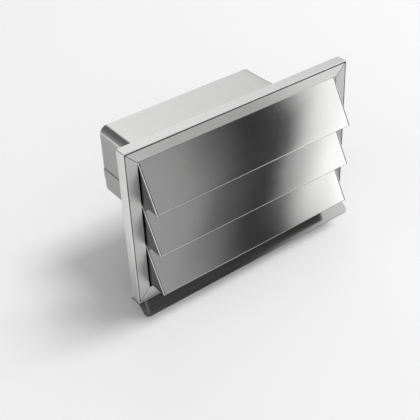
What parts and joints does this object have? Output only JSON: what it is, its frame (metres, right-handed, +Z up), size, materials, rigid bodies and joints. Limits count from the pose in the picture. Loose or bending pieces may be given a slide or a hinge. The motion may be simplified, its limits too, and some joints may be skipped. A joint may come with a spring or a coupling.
{
  "type": "louvred wall vent",
  "caption": "External wall vent for a flat duct: a mitred steel frame with gravity louvres, a drip lip and a rectangular duct spigot.",
  "frame": {"origin": "on the duct's axis, in the plane where the tray's back meets the wall", "axes": "+X to the right seen from the front and along the longest side, +Y into the wall along the spigot, +Z up"},
  "size_m": [0.312, 0.1541, 0.2115],
  "materials": {
    "casing_steel": "brushed stainless steel sheet",
    "bezel_steel": "brushed stainless steel sheet, grain along each strip",
    "louvre_steel": "brushed stainless steel sheet, grain across the louvre",
    "spigot_steel": "brushed stainless steel sheet",
    "lip_steel": "brushed stainless steel sheet",
    "inner_steel": "plain stainless steel sheet",
    "fastener_steel": "bright stainless steel",
    "bush_nylon": "natural nylon",
    "stop_rubber": "black rubber strip"
  },
  "bodies": {
    "casing": {"wall_tray": "casing_steel", "bezel_top": "bezel_steel", "bezel_bottom": "bezel_steel", "bezel_left": "bezel_steel", "bezel_right": "bezel_steel", "corner_keys": "inner_steel", "drip_lip": "lip_steel", "lip_rivets": "fastener_steel", "duct_spigot": "spigot_steel", "spigot_rivets": "fastener_steel", "rail_left": "inner_steel", "rail_right": "inner_steel", "rail_top": "inner_steel", "rail_bottom": "inner_steel", "rail_rivets": "fastener_steel", "stop_bar_1": "inner_steel", "stop_bar_2": "inner_steel", "stop_bar_3": "inner_steel", "stop_strip_1": "stop_rubber", "stop_strip_2": "stop_rubber", "stop_strip_3": "stop_rubber", "pivot_bushes": "bush_nylon"},
    "louvre_1": {"louvre_1_skin": "louvre_steel", "louvre_1_cheek_left": "louvre_steel", "louvre_1_cheek_right": "louvre_steel", "louvre_1_rod": "fastener_steel", "louvre_1_clips": "fastener_steel"},
    "louvre_2": {"louvre_2_skin": "louvre_steel", "louvre_2_cheek_left": "louvre_steel", "louvre_2_cheek_right": "louvre_steel", "louvre_2_rod": "fastener_steel", "louvre_2_clips": "fastener_steel"},
    "louvre_3": {"louvre_3_skin": "louvre_steel", "louvre_3_cheek_left": "louvre_steel", "louvre_3_cheek_right": "louvre_steel", "louvre_3_rod": "fastener_steel", "louvre_3_clips": "fastener_steel"}
  },
  "joints": [
    {"name": "louvre_1_swing", "type": "hinge", "parent": "casing", "child": "louvre_1", "pos_m": [0, -0.0105, 0.0711], "axis": [-1, 0, 0], "range_deg": [0, 55]},
    {"name": "louvre_2_swing", "type": "hinge", "parent": "casing", "child": "louvre_2", "pos_m": [0, -0.0105, 0.0165], "axis": [-1, 0, 0], "range_deg": [0, 55]},
    {"name": "louvre_3_swing", "type": "hinge", "parent": "casing", "child": "louvre_3", "pos_m": [0, -0.0105, -0.0381], "axis": [-1, 0, 0], "range_deg": [0, 55]}
  ]
}
